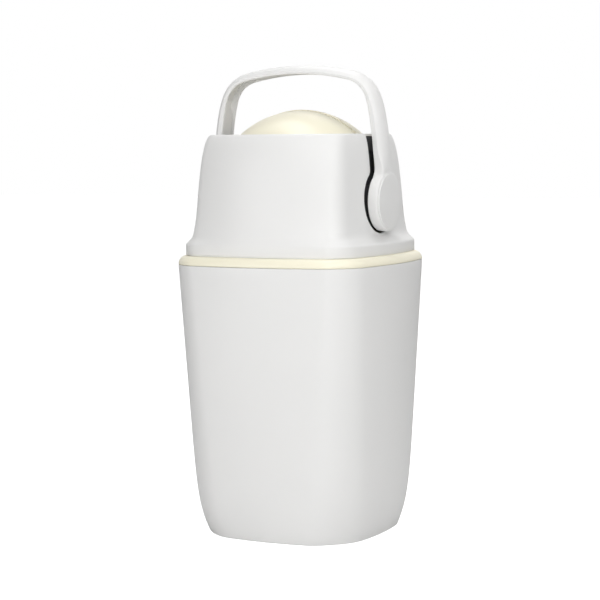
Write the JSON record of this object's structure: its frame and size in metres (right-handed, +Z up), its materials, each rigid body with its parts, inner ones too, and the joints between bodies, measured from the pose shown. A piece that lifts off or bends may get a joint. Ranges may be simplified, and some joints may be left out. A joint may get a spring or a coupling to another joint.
{
  "type": "nappy bin",
  "caption": "Tall rounded square nappy bin with a ball-shaped turning drum worked by a bail handle, a gravity piston, a bag ring and a rear-hinged head.",
  "frame": {"origin": "centre of the flat base on the floor", "axes": "+Z up, -Y the front face, +X the bin's right-hand side seen from the front; the drum's axis is along X"},
  "size_m": [0.263, 0.2775, 0.569],
  "materials": {
    "white_plastic": "satin moulded plastic with a fine spark-eroded grain",
    "cream_plastic": "satin moulded plastic, slightly glossier than the white",
    "chamber_plastic": "smooth wipe-clean moulded plastic",
    "dark_plastic": "matt black moulded plastic",
    "acetal": "machined-smooth acetal",
    "rubber": "soft matt seal rubber",
    "steel": "zinc plated steel"
  },
  "bodies": {
    "bin": {"bin_body": "white_plastic", "hinge_pin": "steel"},
    "ring": {"bag_ring": "cream_plastic"},
    "head": {"head_shell": "white_plastic", "top_deck": "white_plastic", "drum_cradle": "dark_plastic", "upper_seal": "rubber", "lower_seal": "rubber", "bearing_plate_left": "dark_plastic", "bearing_plate_right": "dark_plastic", "bush_left": "acetal", "bush_right": "acetal", "cradle_screws": "steel"},
    "drum": {"drum_front_half": "cream_plastic", "drum_rear_half": "cream_plastic", "chamber_tube": "chamber_plastic", "mouth_ring_front": "chamber_plastic", "mouth_ring_rear": "chamber_plastic", "mouth_seat_front": "chamber_plastic", "mouth_seat_rear": "chamber_plastic", "mouth_screws": "steel", "trunnion_left": "acetal", "trunnion_right": "acetal", "handle": "white_plastic", "arm_insert_left": "white_plastic", "arm_insert_right": "white_plastic", "hub_screw_left": "steel", "hub_screw_right": "steel", "hub_cap_left": "white_plastic", "hub_cap_right": "white_plastic"},
    "piston": {"piston_cup_front": "chamber_plastic", "piston_cup_rear": "chamber_plastic", "piston_seal": "rubber", "piston_weight": "steel", "piston_screws": "steel"}
  },
  "joints": [
    {"name": "ring_hinge", "type": "hinge", "parent": "bin", "child": "ring", "pos_m": [0, 0.1395, 0.341], "axis": [-1, 0, 0], "range_deg": [0, 30]},
    {"name": "head_hinge", "type": "hinge", "parent": "ring", "child": "head", "pos_m": [0, 0.1395, 0.341], "axis": [-1, 0, 0], "range_deg": [0, 95]},
    {"name": "handle_turn", "type": "hinge", "parent": "head", "child": "drum", "pos_m": [0, 0, 0.4045], "axis": [1, 0, 0], "range_deg": [-90, 90]},
    {"name": "piston_slide", "type": "slide", "parent": "drum", "child": "piston", "axis": [0, -1, 0], "range_m": [-0.045, 0.045]}
  ]
}
